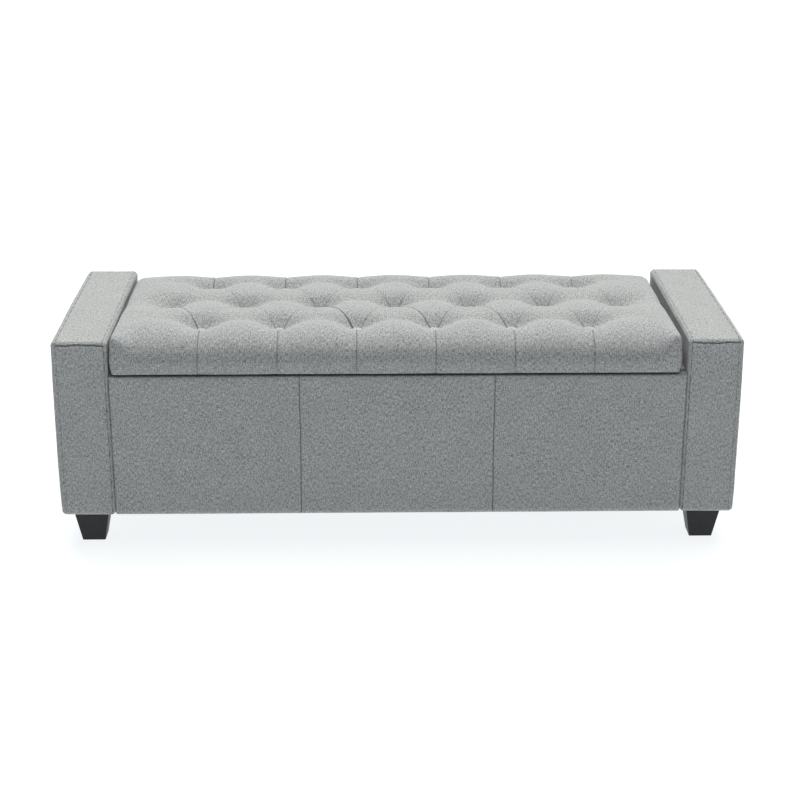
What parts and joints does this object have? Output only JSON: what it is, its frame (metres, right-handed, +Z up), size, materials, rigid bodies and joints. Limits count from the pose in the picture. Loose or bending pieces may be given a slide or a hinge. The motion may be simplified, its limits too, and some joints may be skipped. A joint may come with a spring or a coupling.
{
  "type": "storage bench",
  "caption": "Upholstered storage bench: padded box arms, a fabric chest between them on tapered feet, and a button-tufted lid on hinges with slotted stays.",
  "frame": {"origin": "on the floor under the middle of the bench's bounding box", "axes": "+X to the right of someone facing the bench, along its length; +Y towards its back; +Z up"},
  "size_m": [1.3, 0.49, 0.4175],
  "materials": {
    "grey_fabric": "matte",
    "button_fabric": "matte",
    "black_lining": "matte",
    "board_wood": "matte",
    "foot_black": "satin",
    "zinc_steel": "satin"
  },
  "bodies": {
    "case": {"arm_back_board_left": "board_wood", "arm_back_board_right": "board_wood", "arm_bottom_board_left": "board_wood", "arm_bottom_board_right": "board_wood", "arm_cover_left": "grey_fabric", "arm_cover_right": "grey_fabric", "arm_front_board_left": "board_wood", "arm_front_board_right": "board_wood", "arm_inner_board_left": "board_wood", "arm_inner_board_right": "board_wood", "arm_outer_board_left": "board_wood", "arm_outer_board_right": "board_wood", "arm_top_board_left": "board_wood", "arm_top_board_right": "board_wood", "back_board": "board_wood", "back_cover": "grey_fabric", "end_rail_left": "grey_fabric", "end_rail_right": "grey_fabric", "floor_board": "board_wood", "foot_back_left": "foot_black", "foot_back_right": "foot_black", "foot_front_left": "foot_black", "foot_front_right": "foot_black", "front_board": "board_wood", "front_cover": "grey_fabric", "hinge_case_leaf_left": "zinc_steel", "hinge_case_leaf_right": "zinc_steel", "hinge_pin_left": "zinc_steel", "hinge_pin_right": "zinc_steel", "stay_wall_pin_left": "zinc_steel", "stay_wall_pin_right": "zinc_steel", "storage_lining": "black_lining"},
    "lid": {"button_back_1": "button_fabric", "button_back_2": "button_fabric", "button_back_3": "button_fabric", "button_back_4": "button_fabric", "button_back_5": "button_fabric", "button_back_6": "button_fabric", "button_front_1": "button_fabric", "button_front_2": "button_fabric", "button_front_3": "button_fabric", "button_front_4": "button_fabric", "button_front_5": "button_fabric", "button_front_6": "button_fabric", "button_middle_1": "button_fabric", "button_middle_2": "button_fabric", "button_middle_3": "button_fabric", "button_middle_4": "button_fabric", "button_middle_5": "button_fabric", "button_middle_6": "button_fabric", "button_middle_7": "button_fabric", "hinge_lid_leaf_left": "zinc_steel", "hinge_lid_leaf_right": "zinc_steel", "lid_board": "board_wood", "lid_cushion": "grey_fabric", "lid_lining": "black_lining", "stay_lid_bracket_left": "zinc_steel", "stay_lid_bracket_right": "zinc_steel"},
    "stay_left": {"stay_arm_left": "zinc_steel"},
    "stay_right": {"stay_arm_right": "zinc_steel"}
  },
  "joints": [
    {"name": "lid_hinge", "type": "hinge", "parent": "case", "child": "lid", "pos_m": [0, 0.2411, 0.3445], "axis": [-1, 0, 0], "range_deg": [0, 90]},
    {"name": "stay_pivot_left", "type": "hinge", "parent": "lid", "child": "stay_left", "pos_m": [-0.5237, 0.12199, 0.32988], "axis": [-1, 0, 0], "range_deg": [-45.5, 0.5]},
    {"name": "stay_pivot_right", "type": "hinge", "parent": "lid", "child": "stay_right", "pos_m": [0.5237, 0.12199, 0.32988], "axis": [-1, 0, 0], "range_deg": [-45.5, 0.5]}
  ],
  "couplings": [
    {"joint": "stay_pivot_left", "follows": "lid_hinge", "ratio": -0.5},
    {"joint": "stay_pivot_right", "follows": "lid_hinge", "ratio": -0.5}
  ]
}
